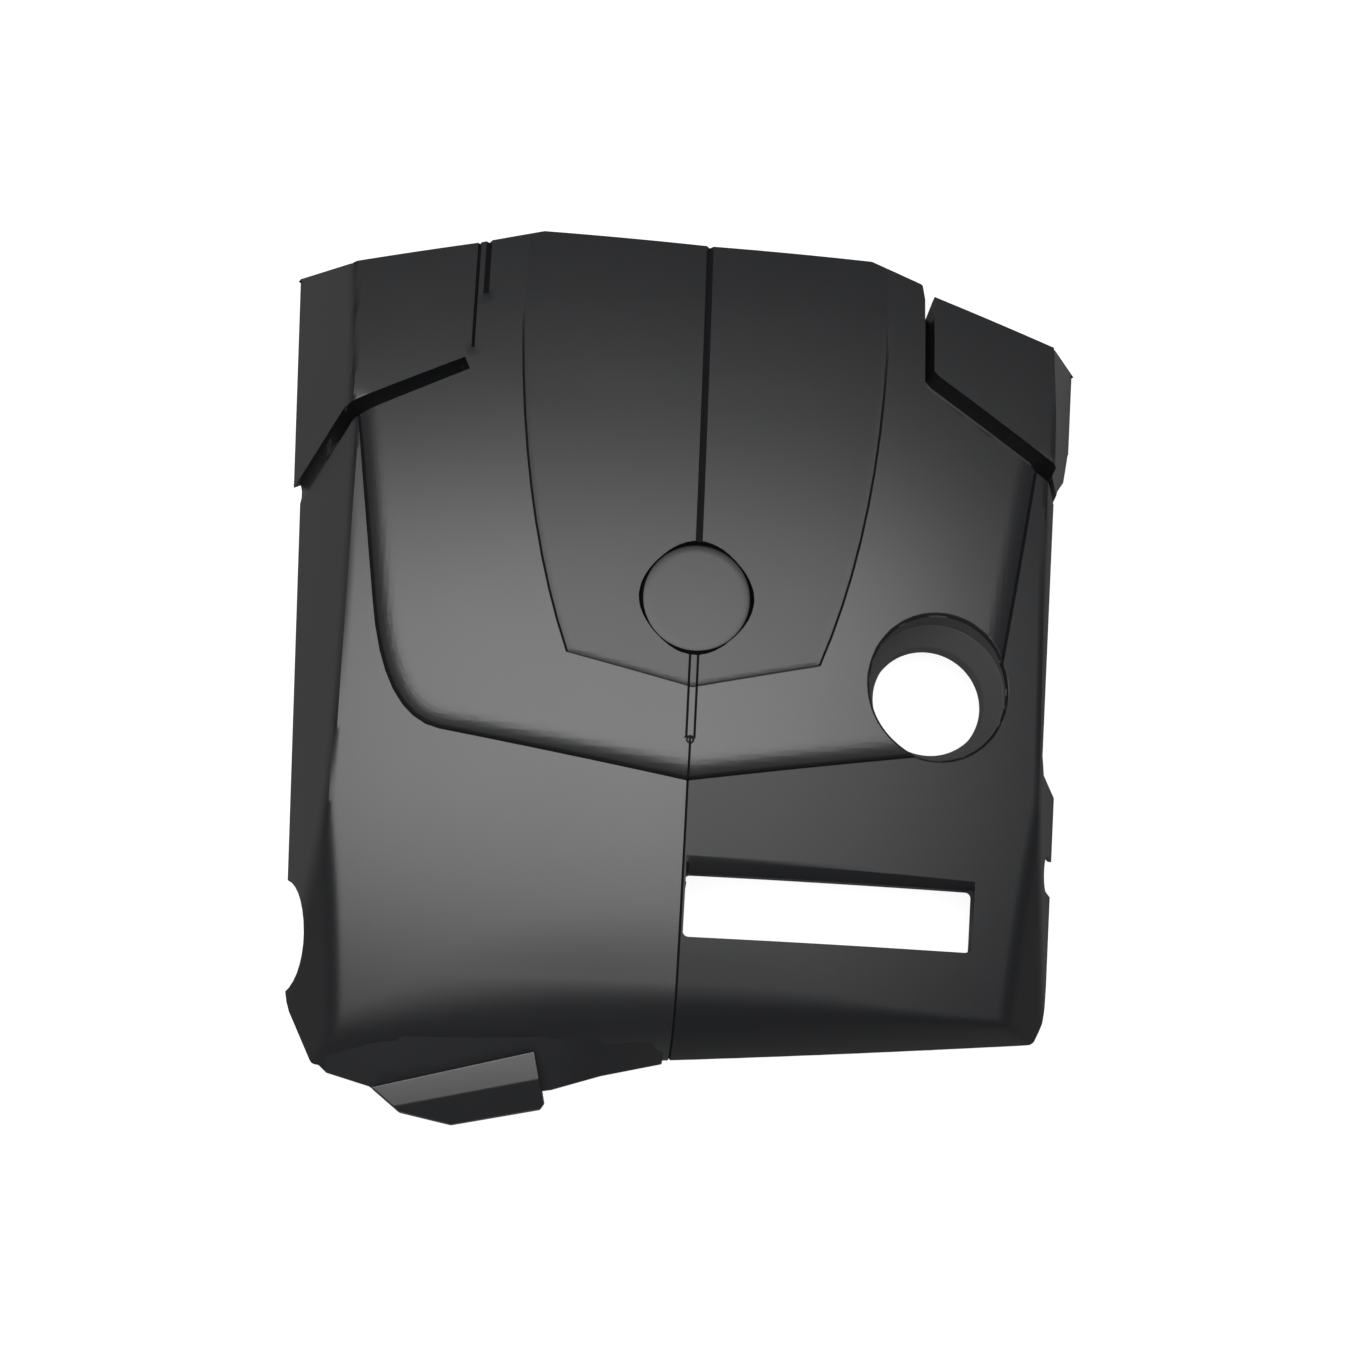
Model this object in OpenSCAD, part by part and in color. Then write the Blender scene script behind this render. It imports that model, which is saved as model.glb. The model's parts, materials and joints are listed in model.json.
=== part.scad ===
// Moulded engine cover: one thin shell with raised corner pads and a raised shield,
// a blank badge disc in its recess, and four rubber push-on mounts underneath.
// Millimetres, +Z up, +Y towards the rear edge, origin at the middle of the base.

/* [Cover] */
// Width between the feet of the flanks, level with the origin
foot_w = 566; // [520:2:640]
// Length on the centre line, from the rear edge to the front edge
cover_l = 577; // [550:1:640]
// Height of the crown above the resting plane
crown_h = 112; // [100:1:140]
// Radius of the crown
crown_r = 1750; // [1400:10:2600]
// Distance from the rear edge to the crest of the crown
crest_back = 79; // [40:1:140]
// Thickness of the moulded wall
wall = 2.8; // [2:0.1:3.6]
// Height of the lip turned down along the rear edge
rear_lip = 14; // [8:1:24]

/* [Flanks] */
// Lean of the left flank from the vertical, in degrees
left_lean = 26; // [20:0.5:30]
// Lean of the right flank from the vertical, in degrees
right_lean = 21.5; // [18:0.5:26]
// Turn of each flank towards the front, in degrees
flank_taper = 3; // [1:0.1:4]
// Lean of the facet on each front corner, in degrees
corner_lean = 45; // [35:1:52]
// Turn of the facet on each front corner, in degrees
corner_turn = 19; // [10:1:25]
// Radius of the arch in the left flank
left_arch_r = 41; // [25:1:50]
// Height of the arch in the left flank
left_arch_h = 30; // [24:1:34]
// Radius of the small arch in the right flank
right_arch_r = 13; // [6:1:18]
// Height of the small arch in the right flank
right_arch_h = 33; // [20:1:45]
// Height of the long cut-out in the right flank
side_cut_h = 64; // [30:1:70]
// Length of the long cut-out in the right flank
side_cut_l = 210; // [120:2:230]

/* [Front] */
// Radius of the rounded front
nose_r = 75; // [50:1:90]
// Radius of the front seen from ahead, flatter than the crown
nose_across_r = 3500; // [2000:50:6000]
// Skew of the front edge, in degrees
front_skew = 4.5; // [0:0.5:6]
// Height of the front edge above the resting plane
front_lift = 8; // [3:1:14]
// Distance that the front ledge stands out from the front edge
ledge_reach = 47; // [30:1:60]
// Width of the front ledge
ledge_w = 126; // [90:2:160]
// Height of the front ledge at its high end
ledge_h = 24; // [18:1:34]

/* [Raised panels] */
// Rise of the shield and the corner pads above the outer surface
rise = 4.5; // [2:0.5:6]
// Distance between the inner edges of the corner pads
pad_inner_w = 332; // [320:2:350]
// Length of the left pad along its inner edge
left_pad_l = 96; // [80:1:120]
// Length of the right pad along its inner edge
right_pad_l = 87; // [70:1:110]
// Width of the dark gap in front of the pads
pad_gap = 9; // [5:0.5:14]
// Depth of the dark gap
pad_gap_depth = 13; // [8:0.5:18]
// Width of the shield between its straight sides
shield_w = 446; // [420:2:460]
// Distance from the badge centre to the front tip of the shield
shield_reach = 124; // [110:1:140]

/* [Lines] */
// Width of the centre groove
groove_w = 5; // [3:0.5:8]
// Depth of the centre groove
groove_depth = 1.8; // [1:0.1:2.2]
// Width of the fine lines
line_w = 1.6; // [1:0.1:3]
// Depth of the fine lines
line_depth = 1.2; // [0.6:0.1:1.8]
// Width of the tapered panel at the rear
panel_rear_w = 264; // [240:2:290]
// Width of the tapered panel at its front corners
panel_front_w = 176; // [150:2:200]

/* [Badge] */
// Radius of the badge disc
badge_r = 37.5; // [30:0.5:44]
// Thickness of the badge disc
badge_t = 3; // [2:0.1:4]
// Width of the ring gap around the badge disc
badge_gap = 2; // [0.5:0.1:3]
// Distance from the rear edge to the badge centre
badge_back = 264; // [250:1:275]
// Radius of the pegs under the badge disc
badge_peg_r = 2.5; // [1.5:0.1:4]
// Clearance around the badge pegs
badge_peg_fit = 0.15; // [0.05:0.05:0.4]

/* [Oil filler well] */
// Distance from the centre line to the filler well
filler_x = 174; // [160:1:180]
// Distance from the badge centre forward to the filler well
filler_forward = 50; // [35:1:60]
// Radius of the filler bore
filler_r = 40; // [30:0.5:44]
// Radius of the mouth of the filler well
filler_mouth_r = 50.5; // [46:0.5:56]
// Height of the bottom of the filler bore
filler_low = 38; // [28:1:46]
// Length of the straight filler bore
filler_bore_l = 12; // [8:1:18]
// Depth of the straight mouth of the well
filler_mouth_l = 18; // [16:1:22]

/* [Window] */
// Width of the window
window_w = 204; // [150:1:206]
// Length of the window
window_l = 43; // [25:1:50]
// Distance from the front edge to the window
window_forward = 83; // [74:1:90]
// Radius of the window corners
window_corner_r = 4; // [1:0.5:10]
// Depth of the frame around the window
window_frame = 14; // [8:1:20]
// Width of the sloping lead-in behind the window
window_lead = 11; // [4:1:14]

/* [Push-on mounts] */
// Distance between the two rear mounts
rear_mount_w = 200; // [180:2:220]
// Distance from the rear edge to the rear mounts
rear_mount_back = 64; // [50:1:80]
// Height of the socket mouths at the rear
rear_mount_low = 62; // [45:1:70]
// Distance between the two front mounts
front_mount_w = 240; // [200:2:250]
// Distance from the badge centre forward to the front mounts
front_mount_forward = 138; // [132:1:142]
// Height of the socket mouths at the front
front_mount_low = 46; // [30:1:50]
// Radius of the grommet body
grommet_r = 10; // [8:0.5:12]
// Length of the grommet body inside its socket
grommet_l = 14; // [12:1:18]
// Radius of the grommet flange
grommet_flange_r = 13.5; // [13:0.5:15]
// Thickness of the grommet flange
grommet_flange_t = 2.5; // [1.5:0.5:4]
// Radius of the bore for the ball stud
stud_r = 5; // [4:0.25:6]
// Depth of the bore for the ball stud
stud_depth = 12; // [8:1:14]
// Clearance between a grommet and its socket
grommet_fit = 0.1; // [0.05:0.05:0.3]

/* [Hidden] */
plastic = "#26282c";
rubber = "#141414";
// The ledge in front and the peak of the rear edge end the same way from the origin
rear_peak = 5;
rear_y = (cover_l + ledge_reach - rear_peak) / 2;
front_y = rear_y - cover_l;
crest_y = rear_y - crest_back;
badge_y = rear_y - badge_back;
crown_centre_z = crown_h - crown_r;
foot_x = foot_w / 2;
far = foot_w;
// How far cutting shapes run past the surfaces that they cut
over = 5;
top_z = crown_h + 4 * over;

// The front is a chain of short straight steps around an arc inside the crown
nose_end = 76;
nose_step = 8;
nose_out = (crest_y - front_y) * cos(front_skew);
nose_start = asin((nose_out - nose_r * sin(nose_end)) / (crown_r - nose_r));
nose_y = -(crown_r - nose_r) * sin(nose_start);
nose_z = crown_centre_z + (crown_r - nose_r) * cos(nose_start);
nose_axis_z = crown_h - nose_across_r;

pad_x = pad_inner_w / 2;
left_pad_y = rear_y - left_pad_l;
right_pad_y = rear_y - right_pad_l;
// The bend of the left pad lies on the crease, and its end on the foot of the flank
pad_bend = [-(foot_x - 29), left_pad_y - 37];
left_pad_end = [-(foot_x + 37), left_pad_y - 88];
right_pad_edge_x = foot_x - 23;
right_pad_end = [right_pad_edge_x, right_pad_y - 60];
right_gap_end = [foot_x + 37, right_pad_y - 98];

shield_x = shield_w / 2;
shield_tip_y = badge_y - shield_reach;
shield_corner = [shield_x - 51, shield_tip_y + 28];

filler_y = badge_y - filler_forward;
filler_mouth_low = surface_z(filler_x, filler_y) + rise - filler_mouth_l;

window_y = front_y + window_forward;
window_x = 2;

rib_t = 1.8;
rib_h = 9;
socket_r = grommet_r + grommet_fit;
socket_wall = wall + 0.6;
rear_mount_y = rear_y - rear_mount_back;
front_mount_y = badge_y - front_mount_forward;
badge_tilt = asin((crest_y - badge_y) / crown_r);
badge_seat = rise + 0.3 - badge_t;
badge_peg_l = wall + 1.5;
badge_peg_x = badge_r * 0.6;

// Height of the outer surface above the resting plane at a point in plan
function surface_z(x, y) =
    crown_centre_z + sqrt(crown_r * crown_r - x * x - (y - crest_y) * (y - crest_y));
// Points on a smooth curve from a to c that is drawn towards b
function bend(a, b, c, steps) =
    [for (i = [0 : steps]) let (t = i / steps) (1 - t) * (1 - t) * a + 2 * t * (1 - t) * b + t * t * c];
function mirrored(points) =
    [for (i = [len(points) - 1 : -1 : 0]) [-points[i][0], points[i][1]]];

// Smooth body, shrunk by depth from the outer surface
module crown(depth) {
    translate([0, crest_y, crown_centre_z])
        rotate([0, 90, 0])
            sphere(r = crown_r - depth, $fn = 256);
}

module nose(depth) {
    arc_r = nose_r - depth;
    first = nose_start + 5;
    count = ceil((nose_end - first) / nose_step);
    angles = [for (i = [0 : count]) first + (nose_end - first) * i / count];
    arc = [for (a = angles) [nose_z - nose_axis_z + arc_r * cos(a), nose_y - arc_r * sin(a)]];
    start = arc[0];
    low = arc[len(arc) - 1];
    drop = crown_h + 8 * over;
    lead = crest_y - front_y + foot_w / 2;
    rear = [start[0] + lead * tan(nose_start + 3), start[1] + lead];
    foot = [low[0] - drop, low[1] - drop / tan(nose_end)];
    translate([0, crest_y, nose_axis_z])
        rotate([0, 0, front_skew])
            rotate([-90, 0, 0])
                rotate([0, 0, -98])
                    rotate_extrude(angle = 16, $fn = 360)
                        polygon(concat([rear], arc, [foot], [[foot[0], rear[1]]]));
}

// Everything on the inner side of a plane that leans inwards and turns in to the front.
// It stands on the point x, y of the base. Side is 1 for the right and -1 for the left
module inner_side(side, x, y, lean, turn, depth) {
    low = -2 * over;
    edge = -depth / cos(lean);
    translate([side * x, y, 0])
        rotate([0, 0, -side * turn])
            rotate([90, 0, 0])
                linear_extrude(height = 4 * far, center = true)
                    polygon([
                        [side * (edge - low * tan(lean)), low],
                        [side * (edge - top_z * tan(lean)), top_z],
                        [-side * 2 * far, top_z],
                        [-side * 2 * far, low]
                    ]);
}

module flanks(depth) {
    intersection() {
        inner_side(-1, foot_x, 0, left_lean, flank_taper, depth);
        inner_side(1, foot_x - 1.5, 0, right_lean, flank_taper, depth);
        inner_side(-1, foot_x - 11, front_y + 42, corner_lean, corner_turn, depth);
        inner_side(1, foot_x - 11, front_y + 42, corner_lean, corner_turn, depth);
    }
}

module top_skin(depth) {
    intersection() {
        crown(depth);
        flanks(depth);
    }
}

module smooth_body(depth) {
    intersection() {
        top_skin(depth);
        nose(depth);
    }
}

// Outline of the cover seen from above. The flanks and the front stop it elsewhere
module cover_plan() {
    polygon([
        [-far, rear_y + 0.53 * (far - foot_x) + 3],
        [-far, front_y - 90],
        [far, front_y - 90],
        [far, rear_y + 0.6 * (far - foot_x) - 37],
        [foot_x - 26, rear_y - 53],
        [pad_x, rear_y - 24],
        [pad_x - 10, rear_y - 15],
        [119, rear_y - 1],
        [0, rear_y],
        [-120, rear_y + rear_peak],
        [-pad_x, rear_y - 6],
        [-(foot_x - 26), rear_y - 23]
    ]);
}

module plan_block(inset, low) {
    translate([0, 0, low])
        linear_extrude(height = top_z - low)
            offset(delta = -inset)
                cover_plan();
}

// Outline of everything that stands above the outer surface: the shield and the pads
module raised_plan() {
    side = bend([shield_x, badge_y - 8], [shield_x - 11, badge_y - 89], shield_corner, 6);
    rear_side = [shield_x + 20, left_pad_y - 41];
    left = concat([[-rear_side[0], rear_side[1]]], mirrored([for (i = [6 : -1 : 0]) side[i]]));
    right = concat([for (i = [6 : -1 : 0]) side[i]], [rear_side]);
    polygon(concat(
        left,
        [[0, shield_tip_y]],
        right,
        [[rear_side[0], right_pad_end[1] - 30], right_pad_end],
        [[right_pad_edge_x - 4, rear_y + 60]],
        [[-far, rear_y + 60], left_pad_end - [far - foot_x - 37, 0], left_pad_end, pad_bend]
    ));
}

module raised_block(inset) {
    linear_extrude(height = top_z)
        offset(delta = -inset)
            raised_plan();
}

// Ledge on the left of the front, with a top that slopes down to its left end
module ledge(inset, low) {
    right_x = -81 + 0.5 * (ledge_w - 126);
    left_x = right_x - ledge_w;
    high_x = right_x - 18;
    intersection() {
        translate([0, 0, low])
            linear_extrude(height = 3 * ledge_h - low)
                offset(delta = -inset)
                    polygon([
                        [left_x, front_y + 30],
                        [left_x, front_y - 23],
                        [left_x + 22, front_y - 40],
                        [left_x + 58, front_y - ledge_reach],
                        [right_x - 7, front_y - 34],
                        [right_x, front_y - 23],
                        [right_x, front_y + 30]
                    ]);
        translate([high_x, front_y - 17, ledge_h])
            rotate([0, 0, 12.7])
                rotate([0, -10, 0])
                    rotate([90, 0, 90])
                        translate([0, 0, -ledge_w])
                            linear_extrude(height = ledge_w + 9 - inset)
                                offset(delta = -inset)
                                    polygon([[70, 9], [0, 0], [-30, -18], [-30, -60], [70, -60]]);
    }
}

// Low toe that runs out from both ends of the ledge along the front edge
module toe(inset, low) {
    right_x = -81 + 0.5 * (ledge_w - 126);
    left_x = right_x - ledge_w;
    translate([0, 0, low])
        linear_extrude(height = front_lift + 3 - inset - low)
            offset(delta = -inset)
                polygon([
                    [left_x - 30, front_y + 20],
                    [left_x - 30, front_y - 17],
                    [left_x, front_y - 23],
                    [left_x + 22, front_y - 38],
                    [right_x, front_y - 20],
                    [right_x + 34, front_y - 9],
                    [right_x + 76, front_y + 1],
                    [right_x + 76, front_y + 20]
                ]);
}

// Outlines of the gap in front of each pad, grown by the thickness of its walls
module left_gap_plan(grow) {
    start = [-pad_x - 5, left_pad_y];
    drop = [4, -pad_gap];
    offset(delta = grow)
        polygon([
            start,
            pad_bend,
            left_pad_end,
            left_pad_end + drop + [4, 0],
            pad_bend + drop + [3, 0],
            start + drop
        ]);
}

module right_gap_plan(grow) {
    corner = [pad_x + 4, right_pad_y];
    offset(delta = grow)
        polygon([
            [pad_x, rear_y + over],
            [pad_x, right_pad_y + 4],
            corner,
            right_gap_end,
            right_gap_end - [6, pad_gap + 1],
            corner - [11, pad_gap],
            [pad_x - pad_gap + 2, rear_y + over]
        ]);
}

module gap_cut() {
    difference() {
        linear_extrude(height = top_z) {
            left_gap_plan(0);
            right_gap_plan(0);
        }
        top_skin(pad_gap_depth);
    }
}

// Material that carries the floor and the walls of the pad gaps
module gap_wall() {
    difference() {
        linear_extrude(height = top_z) {
            left_gap_plan(wall);
            right_gap_plan(wall);
        }
        top_skin(pad_gap_depth + wall);
    }
}

module window_plan(grow) {
    corner = window_corner_r + grow;
    translate([window_x - grow, window_y - grow])
        translate([corner, corner]) {
            square([window_w + 2 * grow - 2 * corner, window_l + 2 * grow - 2 * corner]);
            translate([-corner, 0])
                square([window_w + 2 * grow, window_l + 2 * grow - 2 * corner]);
            translate([0, -corner])
                square([window_w + 2 * grow - 2 * corner, window_l + 2 * grow]);
            for (x = [0, window_w + 2 * grow - 2 * corner], y = [0, window_l + 2 * grow - 2 * corner])
                translate([x, y])
                    circle(r = corner, $fn = 48);
        }
}

module window_wall() {
    difference() {
        linear_extrude(height = top_z)
            window_plan(wall);
        crown(window_frame);
    }
}

// Through window with a sloping lead-in along its rear side
module window_cut() {
    back_y = window_y + window_l;
    left_z = surface_z(window_x, back_y);
    fall = atan((left_z - surface_z(window_x + window_w, back_y)) / window_w);
    translate([0, 0, -over])
        linear_extrude(height = top_z)
            window_plan(0);
    translate([window_x, back_y, left_z])
        rotate([0, fall, 0.6])
            rotate([90, 0, 90])
                linear_extrude(height = window_w / cos(fall))
                    polygon([
                        [-over, -9],
                        [0, -6],
                        [window_lead, 2],
                        [window_lead, 20],
                        [-over, 20]
                    ]);
}

// Material under the lead-in, so that the wall stays whole there
module window_lead_wall() {
    difference() {
        translate([window_x - wall, window_y + window_l, 0])
            cube([window_w + 2 * wall, window_lead + wall, top_z]);
        crown(window_frame);
    }
}

module filler_shape(grow, low) {
    translate([filler_x, filler_y, 0])
        rotate_extrude($fn = 128)
            polygon([
                [0, low],
                [filler_r + grow, low],
                [filler_r + grow, filler_low + filler_bore_l],
                [filler_mouth_r + grow, filler_mouth_low],
                [filler_mouth_r + grow, top_z],
                [0, top_z]
            ]);
}

// Places its children on the crown at the badge, with +Z square to the surface
module at_badge() {
    translate([0, crest_y, crown_centre_z])
        rotate([badge_tilt, 0, 0])
            translate([0, 0, crown_r])
                children();
}

module badge_peg_places() {
    for (side = [-1, 1])
        translate([side * badge_peg_x, 0, 0])
            children();
}

module badge_boss() {
    at_badge()
        translate([0, 0, badge_seat - wall])
            cylinder(r = badge_r + badge_gap + wall, h = wall + badge_t + over, $fn = 128);
}

module badge_recess() {
    at_badge() {
        translate([0, 0, badge_seat])
            cylinder(r = badge_r + badge_gap, h = badge_t + over, $fn = 128);
        badge_peg_places()
            translate([0, 0, badge_seat - 3 * over])
                cylinder(r = badge_peg_r + badge_peg_fit, h = 4 * over, $fn = 48);
    }
}

module mount_posts() {
    for (side = [-1, 1]) {
        translate([side * rear_mount_w / 2, rear_mount_y, rear_mount_low])
            cylinder(r = socket_r + socket_wall, h = top_z - rear_mount_low, $fn = 96);
        translate([side * front_mount_w / 2, front_mount_y, front_mount_low])
            cylinder(r = socket_r + socket_wall, h = top_z - front_mount_low, $fn = 96);
    }
}

module mount_sockets() {
    for (side = [-1, 1]) {
        translate([side * rear_mount_w / 2, rear_mount_y, rear_mount_low - over])
            cylinder(r = socket_r, h = grommet_l + over, $fn = 96);
        translate([side * front_mount_w / 2, front_mount_y, front_mount_low - over])
            cylinder(r = socket_r, h = grommet_l + over, $fn = 96);
    }
}

// Low ribs under the crown, two along the cover and three across it
module ribs() {
    across = foot_w - 170;
    difference() {
        union() {
            for (x = [-60, 60])
                translate([x - rib_t / 2, front_y + 140, 0])
                    cube([rib_t, cover_l - 190, top_z]);
            for (y = [badge_y + 70, badge_y + 140])
                translate([-across / 2, y - rib_t / 2, 0])
                    cube([across, rib_t, top_z]);
            translate([-across / 2, front_mount_y - rib_t / 2, 0])
                cube([across / 2 + front_mount_w / 2, rib_t, top_z]);
        }
        crown(wall + rib_h - rise);
    }
}

// Lines in the raised surface: centre groove, tapered panel and the pair in front of the badge
module raised_line_plan() {
    panel_front_y = badge_y - 42;
    rear = [panel_rear_w / 2, rear_y - 47];
    middle = [(panel_rear_w + panel_front_w) / 4 + 18, badge_y + 60];
    side = bend(rear, middle, [panel_front_w / 2, panel_front_y], 8);
    outline = concat([[0, badge_y - 62]], mirrored(side), side);
    difference() {
        polygon(outline);
        offset(delta = -line_w)
            polygon(outline);
        translate([-panel_rear_w, rear_y - 47 - 2 * line_w])
            square([2 * panel_rear_w, 10]);
    }
    translate([-groove_w / 2, badge_y + badge_r])
        square([groove_w, rear_y - badge_y]);
    for (x = [-2.8, 2.8])
        translate([x - line_w / 2, badge_y - badge_r - 50])
            square([line_w, 54]);
    translate([0, badge_y - badge_r - 54])
        circle(r = 2.4, $fn = 32);
    translate([-line_w / 2, shield_tip_y - 2])
        square([line_w, badge_y - badge_r - 54 - shield_tip_y]);
    translate([-pad_x, left_pad_y + 8])
        square([line_w, left_pad_l]);
    translate([-pad_x + 6, rear_y - 46])
        square([line_w, 50]);
}

module line_cuts() {
    difference() {
        linear_extrude(height = top_z)
            raised_line_plan();
        crown(groove_depth - rise);
    }
    difference() {
        translate([-line_w / 2, front_y - over, 0])
            cube([line_w, shield_tip_y - front_y + over, top_z]);
        smooth_body(line_depth);
    }
}

module arch_cut(side, y, r, h) {
    translate([side * (foot_x - 60), y, 0])
        rotate([0, side * 90, 0])
            translate([-side * (h - r), 0, 0]) {
                cylinder(r = r, h = 110, $fn = 96);
                translate([side > 0 ? 0 : -max(h - r, 0) - over, -r, 0])
                    cube([max(h - r, 0) + over, 2 * r, 110]);
            }
}

// Long cut-out that leaves only a shallow flank and two legs on the right
module side_cut() {
    front = badge_y - 105;
    rear = front + side_cut_l;
    translate([foot_x - 47, 0, 0])
        rotate([90, 0, 90])
            linear_extrude(height = far)
                polygon([
                    [front, -over],
                    [front + 4, side_cut_h - 10],
                    [front + 16, side_cut_h],
                    [rear - 5, side_cut_h],
                    [rear + 13, side_cut_h - 16],
                    [rear + 31, 20],
                    [rear + 71, -over]
                ]);
}

// Sloping cut that lifts the front edge off the resting plane
module front_cut() {
    rotate([0, 0, front_skew])
        rotate([90, 0, 90])
            linear_extrude(height = 2 * far, center = true)
                polygon([
                    [front_y + 48, -over],
                    [front_y + 48, 0],
                    [front_y, front_lift],
                    [front_y - 30, front_lift],
                    [front_y - 30, -over]
                ]);
}

// Notch in the rear edge beside the right pad
module rear_notch() {
    linear_extrude(height = top_z)
        polygon([
            [pad_x - 11, rear_y + 30],
            [pad_x - 9, rear_y - 15],
            [pad_x - 5, rear_y - 39],
            [pad_x, rear_y - 24],
            [pad_x + 1, rear_y + 30]
        ]);
}

module outer_body() {
    intersection() {
        union() {
            smooth_body(0);
            intersection() {
                top_skin(-rise);
                nose(-rise);
                raised_block(0);
            }
        }
        plan_block(0, 0);
    }
    ledge(0, front_lift - 6);
    toe(0, front_lift - 6);
}

module hollow() {
    intersection() {
        union() {
            smooth_body(wall);
            intersection() {
                top_skin(wall - rise);
                nose(wall - rise);
                raised_block(wall);
            }
        }
        plan_block(wall, -over);
    }
    intersection() {
        top_skin(rear_lip);
        translate([-far, rear_y - 70, -over])
            cube([2 * far, 120, top_z]);
    }
    ledge(wall, -over);
    toe(wall, -over);
}

// Everything that fills part of the hollow again
module inner_walls() {
    gap_wall();
    window_wall();
    window_lead_wall();
    filler_shape(wall, filler_low);
    badge_boss();
    mount_posts();
    ribs();
}

// The moulding before its openings are cut
module closed_shell() {
    difference() {
        outer_body();
        difference() {
            hollow();
            inner_walls();
        }
    }
}

module cover_shell() {
    color(plastic)
        difference() {
            closed_shell();
            gap_cut();
            window_cut();
            filler_shape(0, -over);
            badge_recess();
            mount_sockets();
            line_cuts();
            arch_cut(-1, front_y + 79, left_arch_r, left_arch_h);
            arch_cut(1, front_y + 147, right_arch_r, right_arch_h);
            side_cut();
            front_cut();
            rear_notch();
        }
}

module badge_disc() {
    color(plastic)
        at_badge() {
            translate([0, 0, badge_seat])
                cylinder(r = badge_r, h = badge_t, $fn = 128);
            badge_peg_places()
                translate([0, 0, badge_seat - badge_peg_l])
                    cylinder(r = badge_peg_r, h = badge_peg_l + 1, $fn = 48);
        }
}

// Rubber bush that grips a ball stud, at the mouth of its socket
module grommet(x, y, low) {
    color(rubber)
        translate([x, y, low])
            difference() {
                union() {
                    cylinder(r = grommet_r, h = grommet_l, $fn = 96);
                    translate([0, 0, -grommet_flange_t])
                        cylinder(r = grommet_flange_r, h = grommet_flange_t, $fn = 96);
                }
                translate([0, 0, -grommet_flange_t - 1])
                    cylinder(r = stud_r, h = stud_depth + 1, $fn = 64);
            }
}

module grommet_rear_left() {
    grommet(-rear_mount_w / 2, rear_mount_y, rear_mount_low);
}

module grommet_rear_right() {
    grommet(rear_mount_w / 2, rear_mount_y, rear_mount_low);
}

module grommet_front_left() {
    grommet(-front_mount_w / 2, front_mount_y, front_mount_low);
}

module grommet_front_right() {
    grommet(front_mount_w / 2, front_mount_y, front_mount_low);
}

cover_shell();
badge_disc();
grommet_rear_left();
grommet_rear_right();
grommet_front_left();
grommet_front_right();
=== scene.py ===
import math

import bmesh
import bpy
import numpy as np
from mathutils import Matrix, Vector
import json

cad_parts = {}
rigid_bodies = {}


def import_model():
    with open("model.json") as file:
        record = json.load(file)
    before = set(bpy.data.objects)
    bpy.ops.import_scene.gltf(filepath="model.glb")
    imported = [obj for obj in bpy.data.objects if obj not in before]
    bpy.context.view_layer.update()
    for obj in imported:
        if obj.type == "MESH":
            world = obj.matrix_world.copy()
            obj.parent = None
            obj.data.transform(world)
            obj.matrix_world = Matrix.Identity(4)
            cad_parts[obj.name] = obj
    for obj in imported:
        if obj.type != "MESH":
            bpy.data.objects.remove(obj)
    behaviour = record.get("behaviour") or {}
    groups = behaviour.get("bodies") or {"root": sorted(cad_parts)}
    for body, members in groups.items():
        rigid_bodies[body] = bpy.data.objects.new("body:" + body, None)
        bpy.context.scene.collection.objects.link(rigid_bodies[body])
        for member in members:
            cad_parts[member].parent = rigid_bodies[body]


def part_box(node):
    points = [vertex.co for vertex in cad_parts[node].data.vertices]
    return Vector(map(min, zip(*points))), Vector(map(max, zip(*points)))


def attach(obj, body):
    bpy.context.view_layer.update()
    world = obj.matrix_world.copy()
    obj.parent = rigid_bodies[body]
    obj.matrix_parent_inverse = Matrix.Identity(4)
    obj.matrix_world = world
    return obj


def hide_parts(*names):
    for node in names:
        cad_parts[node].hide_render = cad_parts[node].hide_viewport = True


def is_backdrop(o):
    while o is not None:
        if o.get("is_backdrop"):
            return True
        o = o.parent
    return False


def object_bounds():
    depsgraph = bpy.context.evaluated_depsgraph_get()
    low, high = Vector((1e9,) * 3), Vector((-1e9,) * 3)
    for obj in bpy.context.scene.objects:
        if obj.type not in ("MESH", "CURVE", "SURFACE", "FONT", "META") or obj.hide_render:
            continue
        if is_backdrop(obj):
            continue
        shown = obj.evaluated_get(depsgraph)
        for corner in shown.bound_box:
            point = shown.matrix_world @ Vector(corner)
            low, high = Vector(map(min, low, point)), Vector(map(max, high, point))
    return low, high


for left_over in list(bpy.data.objects):
    bpy.data.objects.remove(left_over)
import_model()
cad_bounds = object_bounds()

# Sizes are in millimetres, as in the CAD source, and each finished mesh is scaled to metres
MM = 0.001
# A place to the side that lies outside the cover
FAR_X = 400

# Cover
shell_low, shell_high = (Vector(corner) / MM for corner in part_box("cover_shell"))
REAR_PEAK = 5
REAR_Y = shell_high.y - REAR_PEAK
FRONT_Y = REAR_Y - 577
CREST_Y = REAR_Y - 79
BADGE_Y = REAR_Y - 264
FRONT_MOUNT_Y = BADGE_Y - 138
FOOT_X = 283
CROWN_H = 112
CROWN_R = 1750
CROWN_CENTRE_Z = CROWN_H - CROWN_R
WALL = 2.8
RISE = 4.5
CREASE = 5

# Leaning planes: side, foot x, foot y, lean and turn in degrees
LEFT_FLANK = (-1, FOOT_X, 0, 26, 3)
RIGHT_FLANK = (1, FOOT_X - 1.5, 0, 21.5, 3)
LEFT_CORNER = (-1, FOOT_X - 11, FRONT_Y + 42, 45, 19)
RIGHT_CORNER = (1, FOOT_X - 11, FRONT_Y + 42, 45, 19)

# Rounded front
NOSE_R = 75
NOSE_ACROSS_R = 3500
NOSE_END = math.radians(76)
NOSE_BLEND = 3
FRONT_SKEW = math.radians(4.5)
FRONT_LIFT = 8

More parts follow.
